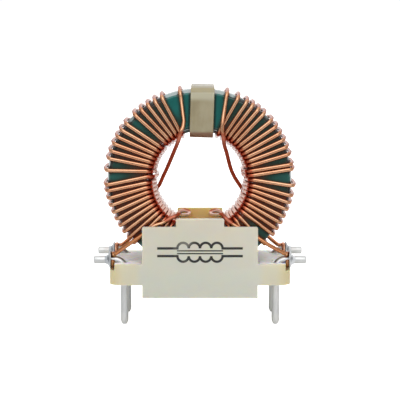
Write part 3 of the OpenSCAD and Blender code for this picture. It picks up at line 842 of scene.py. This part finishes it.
def metalMaterial(name, facts):
    # tone = blotches, under the tints
    material, n, shader, _, uneven = startFinish(name, facts)
    base = n.tinted(n.mix(uneven["Blotch"], facts["dull"], facts["bright"]), facts["tints"])
    endFinish(n, shader, base, uneven["Roughness"], uneven["Height"], facts["bump"])
    return material


# a corner's words in the names of pieces and of nodes, its face and its side
corners = [("frontLeft", "front_left", -1, -1), ("frontRight", "front_right", -1, 1),
           ("rearLeft", "rear_left", 1, -1), ("rearRight", "rear_right", 1, 1)]
tin = metalMaterial("tinPlate", pin)
for corner, node, face, side in corners:
    terminal = addGrid(corner + "Pin", pinPoints(side, face))
    finishPiece(terminal, tin, "terminal_pin_" + node)
print("pins made")


def solderPoints(side, face, seed):
    # a profile in (out along the pin, radius) turned round the pin: a lip over the wire, a rounded
    # collar and a hollow cone. The collar's radius falls short by a sum of slow waves round it.
    bore, end = pin["across"] / 2 + joint["clear"], wireRadius + joint["clear"]
    over = wrapRadius + end
    out = over + joint["skin"]
    profile = np.array([
        [end, bore], [end, over], *[[at, over + up] for at, up in joint["lip"]],
        *[[end + past, out - down] for past, down in joint["collar"]],
        *[[end + past, bore + up] for past, up in joint["hollow"]]])
    a = fullTurn(joint["sides"])
    draw = np.random.default_rng(seed)
    wave = sum(draw.normal(0, joint["waveHeight"] / k)
               * np.cos(k * a + draw.uniform(0, joint["waveStart"])) for k in joint["waves"])
    outwards = np.clip((profile[:, 1] - bore) / joint["wavesOver"], 0, 1)
    onCollar = outwards * (profile[:, 0] > joint["wavesFrom"])
    radius = profile[:, 1:] + np.minimum(wave, 0) * onCollar[:, None]
    x = np.broadcast_to((joint["wrapX"] + profile[:, :1]), radius.shape)
    y = face * pin["pitchY"] / 2 + radius * np.cos(a)
    return onSide(np.stack([x, y, pin["level"] + radius * np.sin(a)], -1), side)


solder = metalMaterial("brightSolder", joint)
for seed, (corner, node, face, side) in enumerate(corners, 1):
    collar = addGrid(corner + "Solder", solderPoints(side, face, seed), closeRows=True)
    finishPiece(collar, solder, "solder_joint_" + node)
print("solder joints made")


# The mark is the sign of a coupled choke. Its rows are how far a line is from the middle height,
# and "line" and "bar" are how far from that line the ink starts and is full.
moulding = {
    "edge": 0.13, "edgeSteps": 3, "sharp": 35, "flatWithin": 0.5, "mergeWithin": 1e-7,
    # from low to high is painted shade, darker low down
    "low": colour(198, 200, 188), "high": colour(206, 202, 186), "litFromAbove": (1.0, 11.0),
    "tints": [
        # the thick base looks warmer than the plates, most of all at its ends
        (colour(204, 200, 178), {"out": (8.1, 9.4), "z": (5.4, 4.4)}),
        (colour(208, 197, 155), {"out": (10.4, 12.7), "z": (5.4, 4.4)}),
        # painted light: the base's upper face made paler in the ring's shade
        (colour(255, 253, 246), {"z": (4.78, 4.84, 4.87, 4.92), "deep": (7.3, 7.2)}),
        # painted copper-coloured bounce light on the rear plate's inner face
        (colour(255, 226, 150), {"y": (6.2, 6.6, 6.8, 6.95), "z": (6.0, 8.0), "out": (8.1, 7.9)}),
    ],
    "ink": colour(34, 32, 30), "printed": {"y": (-7.45, -7.55), "blotch": (-0.6, 0.3)},
    "shader": {
        "Subsurface Weight": 0.7, "Subsurface Radius": (1.0, 0.62, 0.3), "Subsurface Scale": 0.0012,
    },
    "uneven": (3000, 380, 0.55, 0.42, 0.14), "bump": (0.2, 0.00006), "stray": 0.3,
    "mark": {
        "height": 6.6, "row": 0.55, "hump": 0.8, "lastHump": 3.19, "line": (0.2, 0.15),
        "outer": (-0.02, 0.02), "lead": (3.0, 3.06, 6.04, 6.1), "barRow": 0.2,
        "bar": (0.12, 0.07), "barSide": (3.3, 3.24),
    },
}


def headerCopy():
    # the CAD moulding, merged and freed of the edges inside its flat faces, for its bevel
    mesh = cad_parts["header"].data.copy()
    mesh.name = "pinHeader"
    work = bmesh.new()
    work.from_mesh(mesh)
    bmesh.ops.remove_doubles(work, verts=work.verts, dist=moulding["mergeWithin"])
    bmesh.ops.dissolve_limit(work, angle_limit=math.radians(moulding["flatWithin"]),
                             verts=work.verts, edges=work.edges)
    work.to_mesh(mesh)
    work.free()
    mesh.materials.clear()
    mesh.polygons.foreach_set("use_smooth", np.ones(len(mesh.polygons), bool))
    piece = intoScene("pinHeader", mesh)
    bevel = piece.modifiers.new("softEdges", "BEVEL")
    bevel.width = moulding["edge"] * mm
    bevel.segments = moulding["edgeSteps"]
    bevel.limit_method = "ANGLE"
    bevel.angle_limit = math.radians(moulding["sharp"])
    bevel.harden_normals = True
    return piece


def markMask(n):
    # Two rows of humps back to back, their leads, and two bars between. A hump is where the
    # distance from its middle on the row's line is near its radius, outside that line. A lead and
    # a bar are where the height is near their own line.
    mark, side = moulding["mark"], n.places["out"]
    up = n.absolute(n.minus(n.places["z"], mark["height"]))
    row, pitch = n.minus(up, mark["row"]), 2 * mark["hump"]
    cell = n.math("FLOOR", n.math("DIVIDE", n.math("MINIMUM", side, mark["lastHump"]), pitch))
    across = n.minus(side, n.times(n.plus(cell, 0.5), pitch))
    offHump = n.absolute(n.minus(n.distance(across, row), mark["hump"]))
    humps = n.times(n.ramp(offHump, *mark["line"]), n.ramp(row, *mark["outer"]))
    leads = n.times(n.ramp(n.absolute(row), *mark["line"]), n.band(side, *mark["lead"]))
    offBar = n.absolute(n.minus(up, mark["barRow"]))
    bars = n.times(n.ramp(offBar, *mark["bar"]), n.ramp(side, *mark["barSide"]))
    return n.math("MAXIMUM", n.math("MAXIMUM", humps, leads), bars)


def mouldedMaterial():
    # tone = a ramp in height, painted shade darker low down, + (blotch - 0.5) * the stray, under
    # the tints and the mark's ink
    material, n, shader, _, uneven = startFinish("ivoryMoulding", moulding)
    tone = strayed(n, n.ramp(n.places["z"], *moulding["litFromAbove"]), moulding["stray"])
    base = n.mix(n.math("ADD", tone, 0.0, clamp=True), moulding["low"], moulding["high"])
    ink = n.times(markMask(n), n.mask(moulding["printed"]))
    base = n.mix(ink, n.tinted(base, moulding["tints"]), moulding["ink"])
    endFinish(n, shader, base, uneven["Roughness"], uneven["Height"], moulding["bump"])
    return material


header = headerCopy()
finishPiece(header, mouldedMaterial(), "header")
print("header:", len(header.data.polygons), "faces before its bevel")


# The floor's edges are in metres. A direction's numbers are how squarely a ray points that way
# where its light starts and where it is full, and how strong it gets.
studio = {
    "floorHeight": -4.1, "floorEdge": 3.0, "floorFront": 0.06, "seenFloor": 0.8, "seenWorld": 1.02,
    "floor": {
        "Base Color": (0.85, 0.85, 0.85, 1), "Roughness": 0.9, "Emission Color": (1, 1, 1, 1),
    },
    "walls": 0.78, "sideShade": 0.55, "sideSpan": (0.5, 0.95),
    "lampWay": (0.0, -0.82, 0.57), "lamp": (0.7, 0.97, 1.3), "back": (0.2, 0.9, 0.25),
    "top": (0.5, 0.95, 0.34), "beyondShade": 0.5,
    "beyond": {"side": (0.12, 0.2, 0.28, 0.36), "back": (0.3, 0.7), "high": (0.5, 0.2)},
    "gapWay": (0.0, -0.995, -0.1), "gapSpan": (0.91, 0.97), "gapShade": 0.75,
}


def addFloor():
    # one square, lit a little by itself where the camera sees it, so that it looks white
    mesh = bpy.data.meshes.new("floor")
    edge, z, front = studio["floorEdge"], studio["floorHeight"] * mm, -studio["floorFront"]
    square = [(-edge, front, z), (edge, front, z), (edge, edge, z), (-edge, edge, z)]
    mesh.from_pydata(square, [], [(0, 1, 2, 3)])
    floor = intoScene("floor", mesh)
    material, n, shader = newMaterial("paleFloor", studio["floor"])
    seen = n.add("ShaderNodeLightPath").outputs["Is Camera Ray"]
    n.feed(n.times(seen, studio["seenFloor"]), shader["Emission Strength"])
    mesh.materials.append(material)


def addTent():
    # A light tent. Light = walls that are dimmer to the sides + a lamp + the back + the top, * (1
    # - the shade beyond the back's sides) * (1 - the shade of the gap where the view looks in). It
    # looks plain white to the camera.
    world = bpy.data.worlds.new("studioWorld")
    world.use_nodes = True
    background = world.node_tree.nodes["Background"].inputs
    background[0].default_value = (1, 1, 1, 1)
    n = Nodes(world.node_tree)
    way = n.add("ShaderNodeTexCoord").outputs["Generated"]
    toSide, toBack, toTop = n.add("ShaderNodeSeparateXYZ", {0: way}).outputs
    n.places = {"side": n.absolute(toSide), "back": toBack, "high": n.absolute(toTop)}
    walls, shaded = studio["walls"], studio["walls"] * (1 - studio["sideShade"])
    light = n.plus(n.ramp(n.along(way, studio["lampWay"]), *studio["lamp"]),
                   n.ramp(toBack, *studio["back"]),
                   n.ramp(n.places["side"], *studio["sideSpan"], shaded, walls),
                   n.ramp(toTop, *studio["top"]))
    beyond = n.times(n.mask(studio["beyond"]), studio["beyondShade"])
    toGap = n.along(way, studio["gapWay"])
    gap = n.ramp(toGap, *studio["gapSpan"], 1 - studio["gapShade"], 1.0)
    light = n.times(light, n.minus(1.0, beyond), gap)
    seen = n.add("ShaderNodeLightPath").outputs["Is Camera Ray"]
    n.feed(n.math("MAXIMUM", n.times(seen, studio["seenWorld"]), light), background[1])
    bpy.context.scene.world = world


addFloor()
addTent()
print("floor and light placed")
